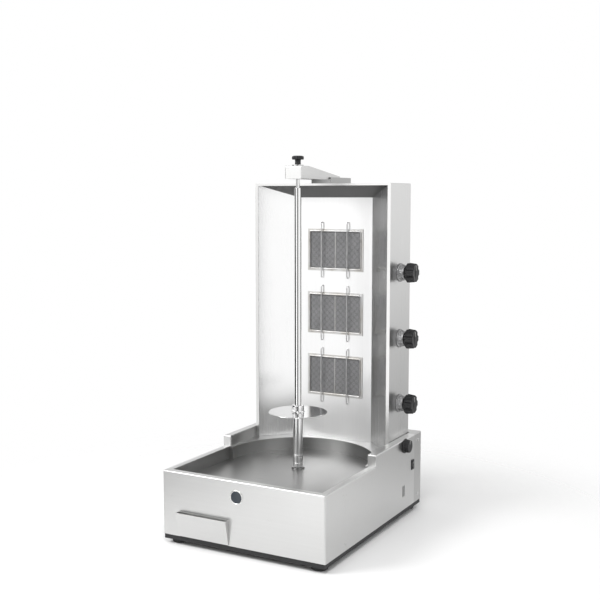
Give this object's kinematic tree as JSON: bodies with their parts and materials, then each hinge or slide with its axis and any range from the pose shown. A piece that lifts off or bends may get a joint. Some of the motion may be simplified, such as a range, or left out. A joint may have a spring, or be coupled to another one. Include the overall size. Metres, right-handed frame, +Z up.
{
  "type": "vertical gas kebab grill",
  "caption": "Countertop vertical rotisserie grill: a driven upright spit with a meat disc in front of infrared burners, over a drip pan base with a grease drawer.",
  "frame": {"origin": "on the worktop at the centre of the base's footprint, under the rubber feet", "axes": "+Z up, -Y is the front with the drawer, +X is the side with the gas knobs"},
  "size_m": [0.4839, 0.6205, 0.9773],
  "materials": {
    "steel": "brushed stainless sheet",
    "polished": "bright polished stainless",
    "black_paint": "black powder coat",
    "cover_grey": "brushed stainless, a little darker",
    "rubber": "black rubber",
    "black_plastic": "black phenolic",
    "ceramic": "dark fired ceramic honeycomb",
    "wire": "stainless wire",
    "brass": "turned brass",
    "cast": "die cast",
    "motor_paint": "dark motor enamel",
    "pipe": "drawn tube",
    "badge": "plain blue-grey enamel",
    "gland": "black nylon"
  },
  "bodies": {
    "grill": {"base_casing": "steel", "base_tray": "black_paint", "rear_cover": "cover_grey", "drip_pan": "steel", "deck_plate": "steel", "rubber_feet": "rubber", "drawer_runners": "steel", "gearbox_housing": "cast", "motor_body": "motor_paint", "motor_bracket": "steel", "shaft_bearing": "brass", "top_arm": "steel", "arm_rail": "cover_grey", "pin_bush": "brass", "tower_casing": "steel", "reflector_left": "polished", "reflector_right": "polished", "reflector_top": "polished", "burner_panel": "polished", "burner_guards": "wire", "knob_escutcheons": "wire", "injector_pipes": "pipe", "gas_manifold": "pipe", "gas_inlet": "brass", "selector_switch": "black_plastic", "rocker_bezel": "black_plastic", "badge": "badge", "cable_gland": "gland", "casing_screws": "wire", "burner_body_lower": "wire", "burner_tiles_lower": "ceramic", "gas_valve_lower": "brass", "burner_body_middle": "wire", "burner_tiles_middle": "ceramic", "gas_valve_middle": "brass", "burner_body_upper": "wire", "burner_tiles_upper": "ceramic", "gas_valve_upper": "brass"},
    "drive": {"output_shaft": "wire", "worm_wheel": "brass", "drive_socket": "wire"},
    "motor_rotor": {"worm_shaft": "wire"},
    "spit": {"spit_rod": "polished", "spit_spacer": "polished"},
    "disc": {"meat_disc": "polished", "disc_set_screw": "wire"},
    "pin": {"release_pin": "polished", "pin_knob": "black_plastic"},
    "drawer": {"drawer_front": "steel", "drawer_tray": "steel"},
    "rocker": {"rocker_button": "black_plastic"},
    "selector": {"selector_knob": "black_plastic", "selector_stem": "brass"},
    "stem_lower": {"valve_stem_lower": "brass"},
    "knob_lower": {"burner_knob_lower": "black_plastic"},
    "stem_middle": {"valve_stem_middle": "brass"},
    "knob_middle": {"burner_knob_middle": "black_plastic"},
    "stem_upper": {"valve_stem_upper": "brass"},
    "knob_upper": {"burner_knob_upper": "black_plastic"}
  },
  "joints": [
    {"name": "spit_spin", "type": "hinge", "parent": "grill", "child": "drive", "pos_m": [0, -0.007, 0.1], "axis": [0, 0, 1], "continuous": true},
    {"name": "worm_spin", "type": "hinge", "parent": "grill", "child": "motor_rotor", "pos_m": [0.0318, 0, 0.098], "axis": [0, 1, 0], "continuous": true},
    {"name": "spit_lift", "type": "slide", "parent": "drive", "child": "spit", "axis": [0, 0, 1], "range_m": [0, 0.018]},
    {"name": "disc_height", "type": "slide", "parent": "spit", "child": "disc", "axis": [0, 0, 1], "range_m": [0, 0.35]},
    {"name": "pin_lift", "type": "slide", "parent": "grill", "child": "pin", "axis": [0, 0, 1], "range_m": [0, 0.022]},
    {"name": "drawer_slide", "type": "slide", "parent": "grill", "child": "drawer", "axis": [0, -1, 0], "range_m": [0, 0.21]},
    {"name": "rocker_tilt", "type": "hinge", "parent": "grill", "child": "rocker", "pos_m": [0.23, 0.232, 0.136], "axis": [0, 1, 0], "range_deg": [-9, 9]},
    {"name": "selector_turn", "type": "hinge", "parent": "grill", "child": "selector", "pos_m": [0.23, 0.175, 0.201], "axis": [1, 0, 0], "range_deg": [-60, 60]},
    {"name": "knob_turn_lower", "type": "hinge", "parent": "grill", "child": "stem_lower", "pos_m": [0.206, 0.189, 0.314], "axis": [1, 0, 0], "range_deg": [0, 180]},
    {"name": "knob_push_lower", "type": "slide", "parent": "stem_lower", "child": "knob_lower", "axis": [-1, 0, 0], "range_m": [0, 0.003], "stiffness_N_per_m": 400},
    {"name": "knob_turn_middle", "type": "hinge", "parent": "grill", "child": "stem_middle", "pos_m": [0.206, 0.189, 0.492], "axis": [1, 0, 0], "range_deg": [0, 180]},
    {"name": "knob_push_middle", "type": "slide", "parent": "stem_middle", "child": "knob_middle", "axis": [-1, 0, 0], "range_m": [0, 0.003], "stiffness_N_per_m": 400},
    {"name": "knob_turn_upper", "type": "hinge", "parent": "grill", "child": "stem_upper", "pos_m": [0.206, 0.189, 0.67], "axis": [1, 0, 0], "range_deg": [0, 180]},
    {"name": "knob_push_upper", "type": "slide", "parent": "stem_upper", "child": "knob_upper", "axis": [-1, 0, 0], "range_m": [0, 0.003], "stiffness_N_per_m": 400}
  ],
  "couplings": [
    {"joint": "worm_spin", "follows": "spit_spin", "ratio": 40}
  ]
}
